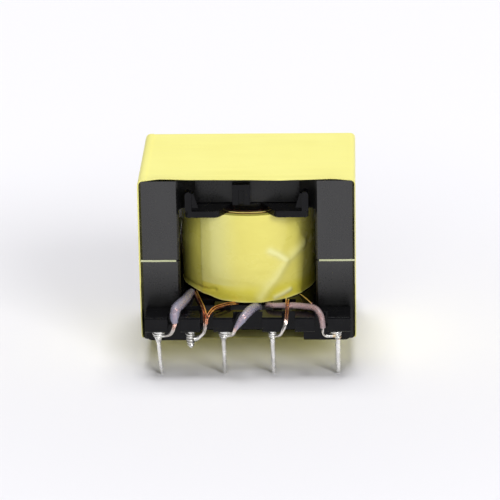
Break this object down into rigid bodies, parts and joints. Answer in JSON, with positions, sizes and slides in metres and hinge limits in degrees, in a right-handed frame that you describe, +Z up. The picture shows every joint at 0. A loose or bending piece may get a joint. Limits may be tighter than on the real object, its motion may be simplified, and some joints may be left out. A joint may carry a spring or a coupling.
{
  "type": "pcb transformer",
  "caption": "Vertical through-hole ferrite transformer: a taped core round a yellow-taped winding, on a black bobbin with two pin rails.",
  "frame": {"origin": "in the middle of the four corner pins, level with the pin tips", "axes": "+Z up, away from the circuit board; +X to the right along the front pin row; +Y to the back"},
  "size_m": [0.0332, 0.0336, 0.0302],
  "materials": {
    "ferrite": "matt, ground flat on the mating faces",
    "core_tape": "smooth polyester film, slightly translucent",
    "gap_film": "smooth film",
    "bobbin_plastic": "moulded phenolic, satin",
    "winding_tape": "smooth polyester film over the copper",
    "copper": "enamelled copper wire",
    "pin_metal": "tin plated",
    "solder": "bright solder",
    "sleeving": "thin translucent tubing",
    "tinned_wire": "tinned strands"
  },
  "bodies": {
    "root": {"core_top": "ferrite", "core_bottom": "ferrite", "gap_spacer_left": "gap_film", "gap_spacer_right": "gap_film", "core_tape_band": "core_tape", "bobbin": "bobbin_plastic", "primary_inner_winding": "copper", "insulation_tape_1": "winding_tape", "secondary_winding": "copper", "insulation_tape_2": "winding_tape", "primary_outer_winding": "copper", "winding_outer_tape": "winding_tape", "pin_1": "pin_metal", "pin_2_stub": "pin_metal", "pin_3": "pin_metal", "pin_4": "pin_metal", "pin_6": "pin_metal", "pin_7": "pin_metal", "pin_8": "pin_metal", "pin_9": "pin_metal", "pin_10": "pin_metal", "pin_11": "pin_metal", "pin_12": "pin_metal", "wrap_1": "solder", "wrap_2": "solder", "wrap_3": "solder", "wrap_4": "solder", "wrap_6": "solder", "wrap_7": "solder", "wrap_9": "solder", "wrap_10": "solder", "wrap_12": "solder", "lead_1_sleeve": "sleeving", "lead_1_wire": "tinned_wire", "lead_2a": "copper", "lead_2b": "copper", "lead_3_sleeve": "sleeving", "lead_3_wire": "tinned_wire", "lead_4": "copper", "lead_6_sleeve": "sleeving", "lead_6_wire": "tinned_wire", "lead_6b": "copper", "rear_lead_7": "copper", "rear_lead_9": "copper", "rear_lead_10": "copper", "rear_lead_12": "copper"}
  },
  "joints": []
}
